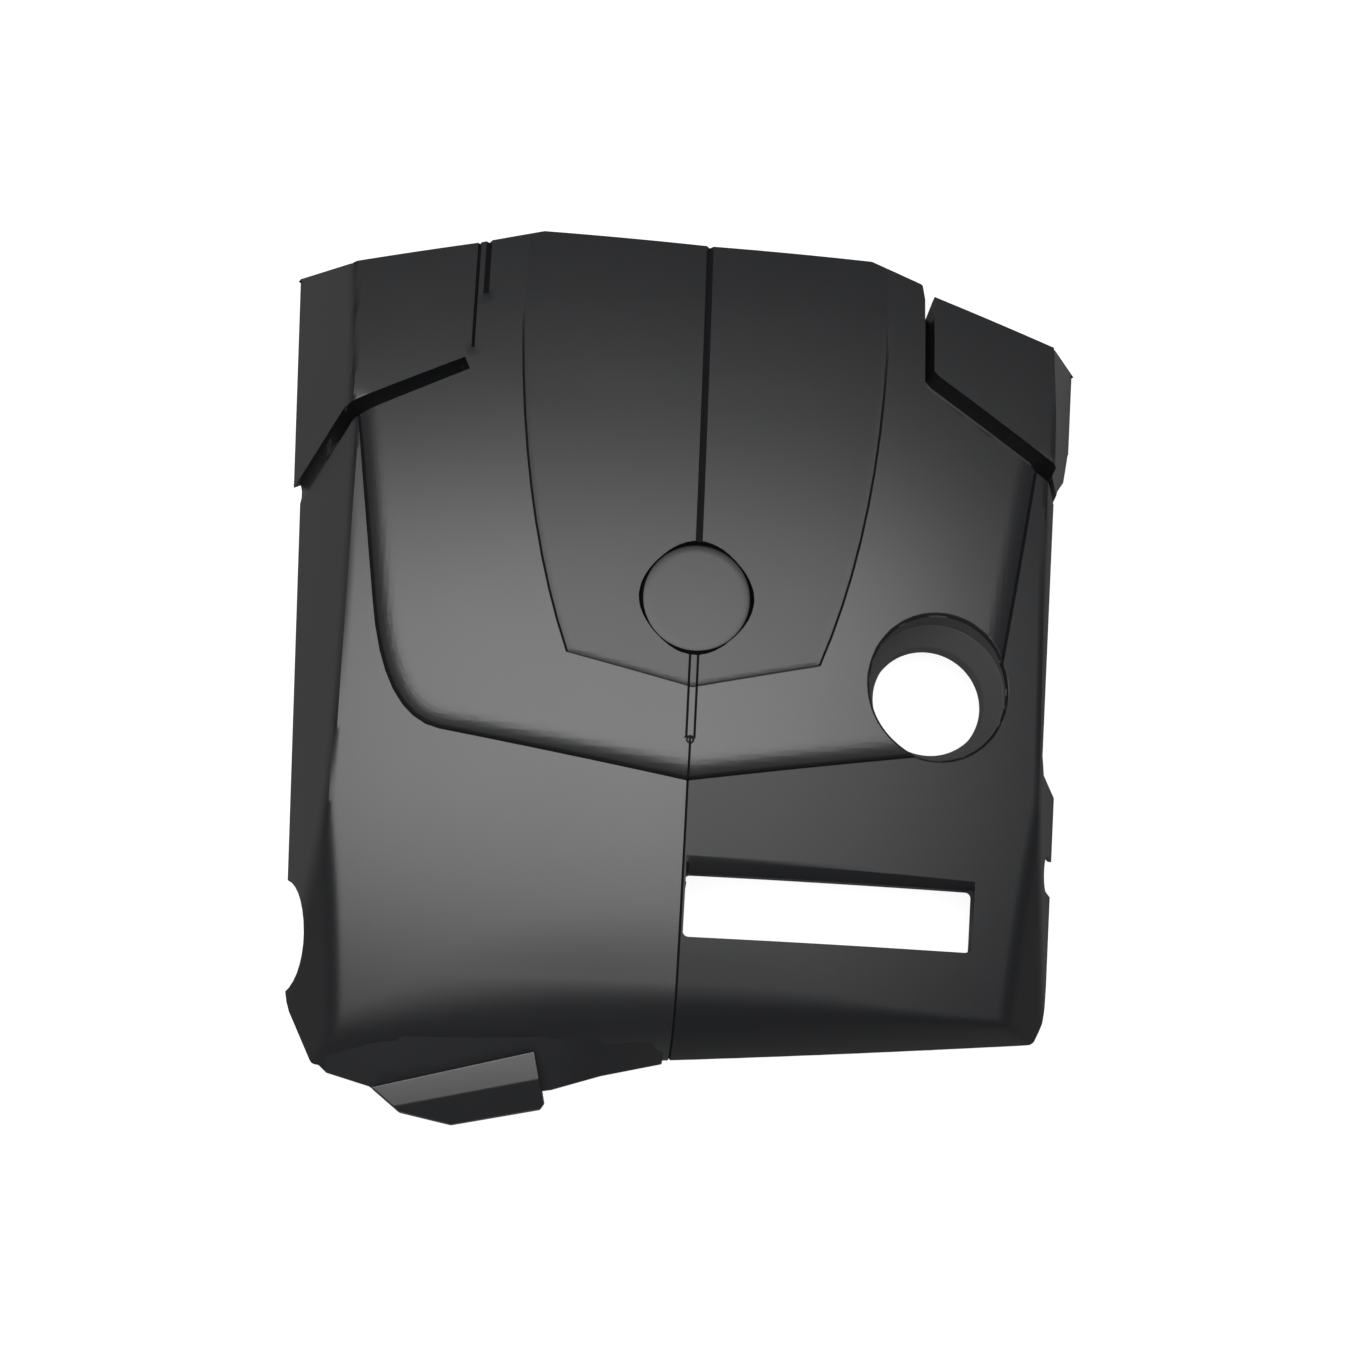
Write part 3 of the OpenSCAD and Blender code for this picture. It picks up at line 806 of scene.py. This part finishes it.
def grained_plastic(name, dark, light, rough, grain, shine):
    """Black moulded plastic with a fine grain that breaks up the sheen."""
    finish = Finish(name)
    cloud = finish.noise(9, 3)
    fine = finish.noise(1500, 3, 0.6)
    coarse = finish.noise(420, 2)
    finish.feed(
        Base_Color=finish.blend(cloud * 0.7 + fine * 0.3, dark, light),
        Roughness=rough + cloud * 0.05 + fine * 0.06,
        Specular_IOR_Level=shine,
    )
    finish.bump(fine * 0.7 + coarse * 0.3, grain, 0.0002)
    return finish.material


def rubber():
    finish = Finish("bush_rubber")
    cloud = finish.noise(60, 3)
    fine = finish.noise(2200, 2)
    finish.feed(
        Base_Color=finish.blend(cloud, (0.012, 0.012, 0.012), (0.024, 0.023, 0.022)),
        Roughness=0.62 + cloud * 0.14,
    )
    finish.bump(fine, 0.15, 0.0001)
    return finish.material


BLACK = ((0.009, 0.0095, 0.011), (0.013, 0.0135, 0.015))
GREY = ((0.06, 0.061, 0.063), (0.13, 0.13, 0.132))
cover_plastic = grained_plastic("cover_plastic", *BLACK, rough=0.3, grain=0.1, shine=0.75)
panel_plastic = grained_plastic("panel_plastic", *BLACK, rough=0.32, grain=0.18, shine=0.6)
front_plastic = grained_plastic("front_plastic", *BLACK, rough=0.36, grain=0.18, shine=0.41)
badge_plastic = grained_plastic("badge_plastic", *BLACK, rough=0.32, grain=0.1, shine=0.6)
well_plastic = grained_plastic("well_plastic", *GREY, rough=0.5, grain=0.5, shine=0.5)
bush_rubber = rubber()


# The moulding

def rib(length_x, length_y, x, y, steps=24):
    """A thin upright rib under the crown, from x, y along one direction."""
    bm = bmesh.new()
    bmesh.ops.create_cube(bm, size=1)
    long_x = length_x > length_y
    normal = Vector((1, 0, 0)) if long_x else Vector((0, 1, 0))
    for i in range(1, steps):
        bmesh.ops.bisect_plane(
            bm, geom=bm.verts[:] + bm.edges[:] + bm.faces[:],
            plane_co=normal * (i / steps - 0.5), plane_no=normal,
        )
    for v in bm.verts:
        across = x + (v.co.x + 0.5) * length_x
        along = y + (v.co.y + 0.5) * length_y
        under = float(outer_z(across, along)) - WALL
        v.co = (across, along, under + 1 if v.co.z > 0 else under - RIB_H + RISE)
    return bm


def post(x, y, low):
    top = float(outer_z(x, y)) - 1
    outer_r = SOCKET_R + SOCKET_WALL
    deep = low + GROMMET_L
    bore = [(0, deep), (SOCKET_R, deep), (SOCKET_R, low)]
    bm = spun(bore + [(outer_r, low), (outer_r, top), (0, top)], x, y)
    for v in bm.verts:
        if v.co.z > top - 0.01:
            v.co.z = float(outer_z(v.co.x, v.co.y)) - WALL / 2
    return bm


def front_ledge():
    """Ledge on the left of the front, with a top that slopes down to its left end."""
    outline = [
        (LEDGE_LEFT, FRONT_Y + 8),
        (LEDGE_LEFT, FRONT_Y - 23),
        (LEDGE_LEFT + 22, FRONT_Y - 40),
        (LEDGE_LEFT + 58, FRONT_Y - 47),
        (LEDGE_RIGHT - 7, FRONT_Y - 34),
        (LEDGE_RIGHT, FRONT_Y - 23),
        (LEDGE_RIGHT, FRONT_Y + 8),
    ]
    frame_of_top = (
        Matrix.Translation((LEDGE_RIGHT - 18, FRONT_Y - 17, 28))
        @ Matrix.Rotation(math.radians(12.7), 4, "Z")
        @ Matrix.Rotation(math.radians(-4), 4, "Y")
    )
    turn = frame_of_top.to_3x3()
    bm = block(outline, FRONT_LIFT - 6, 60)
    cuts = (
        ((0, -14, 70), (0, 0, 0)),
        ((0, -18, 30), (0, 0, 0)),
        ((1, 0, 0), (9, 0, 0)),
        ((-0.03, 1, 0), (9, 19, 0)),
    )
    for normal, place in cuts:
        sliced(bm, frame_of_top @ Vector(place), turn @ Vector(normal).normalized())
    return bm


def front_toe():
    """Foot that carries the nose out to both ends of the ledge along the front edge."""
    outline = [
        (TOE_LEFT, FRONT_Y + 8),
        (TOE_LEFT, FRONT_Y - 9),
        (TOE_LEFT + 7, FRONT_Y - 15),
        (LEDGE_LEFT, FRONT_Y - 23),
        (LEDGE_LEFT + 22, FRONT_Y - 38),
        (LEDGE_RIGHT, FRONT_Y - 20),
        (LEDGE_RIGHT + 34, FRONT_Y - 9),
        (TOE_RIGHT, FRONT_Y + 1),
        (TOE_RIGHT, FRONT_Y + 8),
    ]
    bm = block(outline, FRONT_LIFT - 5.2, FRONT_LIFT + 1)
    top = [face for face in bm.faces if face.normal.z > 0.9]
    made = bmesh.ops.extrude_face_region(bm, geom=top)["geom"]
    bmesh.ops.delete(bm, geom=top, context="FACES_ONLY")
    for part in made:
        if isinstance(part, bmesh.types.BMVert):
            part.co.y = TOE_TOP_Y + (part.co.y - FRONT_Y - 8) * 0.1
            part.co.z = float(outer_z(part.co.x, part.co.y)) - WALL / 2
    bmesh.ops.recalc_face_normals(bm, faces=bm.faces[:])
    return bm


def block(outline, low, high):
    bm = bmesh.new()
    face = bm.faces.new([bm.verts.new((x, y, low)) for x, y in outline])
    made = bmesh.ops.extrude_face_region(bm, geom=[face])["geom"]
    upper = [part for part in made if isinstance(part, bmesh.types.BMVert)]
    bmesh.ops.translate(bm, vec=(0, 0, high - low), verts=upper)
    bmesh.ops.recalc_face_normals(bm, faces=bm.faces[:])
    return bm


def sliced(bm, place, normal):
    """Takes off what lies outside a plane and closes the cut."""
    made = bmesh.ops.bisect_plane(
        bm, geom=bm.verts[:] + bm.edges[:] + bm.faces[:], dist=0.01,
        plane_co=place, plane_no=normal, clear_outer=True,
    )
    rim = [part for part in made["geom_cut"] if isinstance(part, bmesh.types.BMEdge)]
    bmesh.ops.holes_fill(bm, edges=rim, sides=0)


def rounded(bm, width=0.9):
    sharp = [e for e in bm.edges if len(e.link_faces) == 2 and e.calc_face_angle(0) > math.radians(12)]
    bmesh.ops.bevel(
        bm, geom=sharp, offset=width, offset_type="OFFSET", segments=2, profile=0.5, affect="EDGES",
        clamp_overlap=True, material=-1,
    )


def moulding():
    bm = skin()
    turn_down_openings(bm)
    well = circle(WELL_X, WELL_Y, MOUTH_R - 0.3, 80)
    for index, outline in ((1, PANEL_GRAIN), (2, RIGHT_FRONT), (3, well)):
        for face in faces_inside(bm, outline):
            face.material_index = index
    bmesh.ops.recalc_face_normals(bm, faces=bm.faces[:])
    if sum(face.normal.z for face in bm.faces) < 0:
        bmesh.ops.reverse_faces(bm, faces=bm.faces[:])
    bmesh.ops.solidify(bm, geom=bm.faces[:], thickness=WALL)
    for v in bm.verts:
        v.co.z = max(v.co.z, 0)
    mark_sharp(bm)
    for part in (front_ledge(), front_toe()):
        rounded(part)
        mark_sharp(part, 40)
        joined(bm, part)
    for x, y, low in MOUNTS.values():
        part = post(x, y, low)
        mark_sharp(part, 40)
        joined(bm, part)
    for x in (-60, 60):
        joined(bm, rib(RIB_T, 387, x - RIB_T / 2, FRONT_Y + 140))
    for y in (BADGE_Y + 70, BADGE_Y + 140):
        joined(bm, rib(2 * CROSS_RIB_X, RIB_T, -CROSS_RIB_X, y - RIB_T / 2))
    joined(bm, rib(CROSS_RIB_X + 120, RIB_T, -CROSS_RIB_X, FRONT_MOUNT_Y - RIB_T / 2))
    piece = to_object(bm, "cover_moulding", [cover_plastic, panel_plastic, front_plastic, well_plastic])
    even = piece.modifiers.new("even_normals", "WEIGHTED_NORMAL")
    even.keep_sharp = True
    return piece


cover = moulding()
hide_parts("cover_shell")
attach(cover, "root")


# The badge disc, blank, with a softly domed top

def disc():
    tilt = math.asin((CREST_Y - BADGE_Y) / CROWN_R)
    dome = [(BADGE_R * t, BADGE_SEAT + BADGE_T - 0.5 * t * t) for t in (0, 0.3, 0.6, 0.85, 0.96)]
    edge = [(BADGE_R - 0.3, BADGE_SEAT + BADGE_T - 0.8), (BADGE_R, BADGE_SEAT + BADGE_T - 1.4)]
    bm = spun(dome + edge + [(BADGE_R, BADGE_SEAT), (0, BADGE_SEAT)], 0, 0, 96)
    peg_top, peg_low = BADGE_SEAT + 1, BADGE_SEAT - 4
    for x in (-BADGE_R * 0.6, BADGE_R * 0.6):
        joined(bm, spun([(0, peg_top), (PEG_R, peg_top), (PEG_R, peg_low), (0, peg_low)], x, 0, 24))
    seat = (
        Matrix.Translation((0, CREST_Y, CROWN_CENTRE_Z))
        @ Matrix.Rotation(tilt, 4, "X")
        @ Matrix.Translation((0, 0, CROWN_R))
    )
    bmesh.ops.transform(bm, matrix=seat, verts=bm.verts[:])
    mark_sharp(bm, 35)
    return to_object(bm, "badge_blank", [badge_plastic])


badge = disc()
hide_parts("badge_disc")
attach(badge, "root")


# The rubber bushes

def bush(name, x, y, low):
    flange_r, body_r, stud_r, flange = 13.5, 10, 5, 2.5
    mouth, top = low - flange, low + GROMMET_L
    profile = [
        (0, top),
        (body_r - 0.6, top),
        (body_r, top - 0.6),
        (body_r, low),
        (flange_r - 0.6, low),
        (flange_r, low - 0.6),
        (flange_r, mouth + 0.6),
        (flange_r - 0.6, mouth),
        (stud_r + 1.2, mouth),
        (stud_r, mouth + 1.2),
        (stud_r, mouth + 12),
        (0, mouth + 12),
    ]
    bm = spun(profile, x, y, 48)
    mark_sharp(bm, 50)
    return to_object(bm, name + "_rubber", [bush_rubber])


for node, (x, y, low) in MOUNTS.items():
    grip = bush(node, x, y, low)
    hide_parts(node)
    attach(grip, "root")


# Camera, fitted to the photograph

PHOTO_PX = 1350
MM_PER_PX = 0.70


def camera():
    pitch, turn, roll = math.radians(73.97), math.radians(14.43), math.radians(17.18)
    away, image_width = 1.490, PHOTO_PX * MM_PER_PX * MM
    target = Vector((-11.2, -4.0, 80.0)) * MM
    sight = Vector((math.sin(turn) * math.cos(pitch), math.cos(turn) * math.cos(pitch), -math.sin(pitch)))
    level = Vector((math.cos(turn), -math.sin(turn), 0))
    upright = level.cross(sight)
    right = math.cos(roll) * level + math.sin(roll) * upright
    up = math.cos(roll) * upright - math.sin(roll) * level
    data = bpy.data.cameras.new("camera")
    data.sensor_width = 36
    data.lens = 36 * away / image_width
    data.clip_start, data.clip_end = 0.05, 50
    eye = bpy.data.objects.new("camera", data)
    turned = Matrix((right, up, -sight)).transposed().to_4x4()
    eye.matrix_world = Matrix.Translation(target - sight * away) @ turned
    bpy.context.scene.collection.objects.link(eye)
    bpy.context.scene.camera = eye


camera()


# Floor, light and background

def area_light(name, place, aim, width, length, power):
    data = bpy.data.lights.new(name, "AREA")
    data.shape = "RECTANGLE"
    data.size, data.size_y, data.energy = width, length, power
    lamp = bpy.data.objects.new(name, data)
    lamp.location = place
    lamp.rotation_euler = (Vector(aim) - Vector(place)).to_track_quat("-Z", "Y").to_euler()
    bpy.context.scene.collection.objects.link(lamp)


def floor():
    bm = bmesh.new()
    bmesh.ops.create_grid(bm, x_segments=2, y_segments=2, size=6 / MM)
    finish = Finish("studio_floor")
    path = finish.nodes.new("ShaderNodeLightPath")
    seen = Wire(finish.nodes, finish.links, path.outputs["Is Camera Ray"])
    finish.feed(
        Base_Color=(0.27, 0.27, 0.27, 1),
        Roughness=0.9,
        Emission_Color=finish.blend(seen, (0, 0, 0), (1, 1, 1)),
        Emission_Strength=0.9,
    )
    piece = to_object(bm, "studio_floor", [finish.material])
    piece.location.z = -0.0005
    piece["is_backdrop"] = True


def surroundings():
    world = bpy.data.worlds.new("studio")
    world.use_nodes = True
    bpy.context.scene.world = world
    nodes, links = world.node_tree.nodes, world.node_tree.links
    fill = nodes["Background"]
    fill.inputs["Color"].default_value = (1, 1, 1, 1)
    fill.inputs["Strength"].default_value = 0.12
    seen = nodes.new("ShaderNodeBackground")
    seen.inputs["Color"].default_value = (1, 1, 1, 1)
    mix = nodes.new("ShaderNodeMixShader")
    links.new(nodes.new("ShaderNodeLightPath").outputs["Is Camera Ray"], mix.inputs["Fac"])
    links.new(fill.outputs["Background"], mix.inputs[1])
    links.new(seen.outputs["Background"], mix.inputs[2])
    links.new(mix.outputs["Shader"], nodes["World Output"].inputs["Surface"])


floor()
surroundings()
area_light("overhead", (-0.25, -0.20, 2.3), (-0.25, -0.20, 0), width=2.6, length=1.56, power=54)
bpy.context.scene.view_settings.view_transform = "Standard"

new_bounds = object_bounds()
for label, (low, high) in (("cad", cad_bounds), ("scene", new_bounds)):
    label + " " + " ".join(f"{v:.5f}" for v in (*low, *high)) + "\n"
